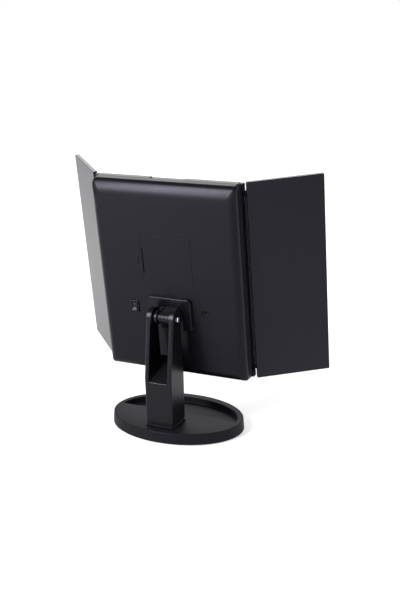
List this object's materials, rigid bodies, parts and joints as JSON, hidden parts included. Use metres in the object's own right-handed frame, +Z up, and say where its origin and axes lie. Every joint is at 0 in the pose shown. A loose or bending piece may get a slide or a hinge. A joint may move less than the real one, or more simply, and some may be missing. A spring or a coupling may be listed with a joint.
{
  "type": "lighted makeup mirror",
  "caption": "Tabletop trifold vanity mirror: light-edged centre glass with hinged side wings, tilting on a fork column over an oval tray base, with battery door and rocker switch.",
  "frame": {"origin": "on the table, under the centre of the oval base, in the middle of the anti-slip pad", "axes": "+Z up, -Y towards the person looking into the glass, +Y the back with switch and battery door, +X to the right of that person"},
  "size_m": [0.3343, 0.1484, 0.3199],
  "materials": {
    "inner_black": "plain moulded",
    "pad_rubber": "matte foam-like",
    "steel": "zinc plated",
    "satin_black": "satin moulded, fine spark texture",
    "cell": "satin jacket",
    "mirror": "polished",
    "nickel": "nickel plated",
    "board": "solder mask",
    "white_plastic": "matte",
    "diffuser": "frosted",
    "column_black": "semi-gloss moulded",
    "chrome": "polished",
    "wing_black": "satin moulded, fine spark texture"
  },
  "bodies": {
    "base": {"base_bottom_plate": "inner_black", "base_pad": "pad_rubber", "base_screw_1": "steel", "base_screw_2": "steel", "base_screw_3": "steel", "base_screw_4": "steel", "base_shell": "satin_black", "base_weight": "steel", "column_screw_1": "steel", "column_screw_2": "steel", "stand_column": "column_black", "tilt_nut": "steel", "tilt_pin": "chrome", "tilt_washer_left": "column_black", "tilt_washer_right": "column_black"},
    "head": {"battery_cell_1": "cell", "battery_cell_2": "cell", "battery_cell_3": "cell", "battery_cell_4": "cell", "battery_tray": "inner_black", "bracket_screw_1": "steel", "bracket_screw_2": "steel", "bracket_screw_3": "steel", "bracket_screw_4": "steel", "centre_mirror": "mirror", "contact_bottom_link_1": "nickel", "contact_bottom_link_2": "nickel", "contact_top_link": "nickel", "contact_top_minus": "nickel", "contact_top_plus": "nickel", "control_board": "board", "front_frame": "satin_black", "led_board_left": "board", "led_board_right": "board", "led_carrier": "white_plastic", "light_diffuser_left": "diffuser", "light_diffuser_right": "diffuser", "power_socket": "nickel", "rear_cover": "satin_black", "switch_body": "inner_black", "tilt_bracket": "column_black", "touch_sensor": "board", "wing_left_pin_bottom": "steel", "wing_left_pin_top": "steel", "wing_right_pin_bottom": "steel", "wing_right_pin_top": "steel"},
    "wing_left": {"wing_left_magnifier_lower": "mirror", "wing_left_magnifier_upper": "mirror", "wing_left_shell": "wing_black"},
    "wing_right": {"wing_right_mirror": "mirror", "wing_right_shell": "wing_black"},
    "rocker": {"switch_rocker": "column_black"},
    "door": {"battery_door": "satin_black"}
  },
  "joints": [
    {"name": "head_tilt", "type": "hinge", "parent": "base", "child": "head", "pos_m": [0, 0.0293, 0.1475], "axis": [-1, 0, 0], "range_deg": [-9, 83]},
    {"name": "wing_right_fold", "type": "hinge", "parent": "head", "child": "wing_right", "pos_m": [0.0952, -0.00908, 0.19075], "axis": [0, -0.1253, -0.9921], "range_deg": [-44.8, 135.2]},
    {"name": "wing_left_fold", "type": "hinge", "parent": "head", "child": "wing_left", "pos_m": [-0.0952, -0.00908, 0.19075], "axis": [0, 0.1253, 0.9921], "range_deg": [-33.3, 146.7]},
    {"name": "power_switch", "type": "hinge", "parent": "head", "child": "rocker", "pos_m": [0.0476, 0.01132, 0.15199], "axis": [-1, 0, 0], "range_deg": [0, 20]},
    {"name": "battery_door_open", "type": "hinge", "parent": "head", "child": "door", "pos_m": [-0.03265, 0.01959, 0.21424], "axis": [0, 0.1253, 0.9921], "range_deg": [0, 70]}
  ]
}
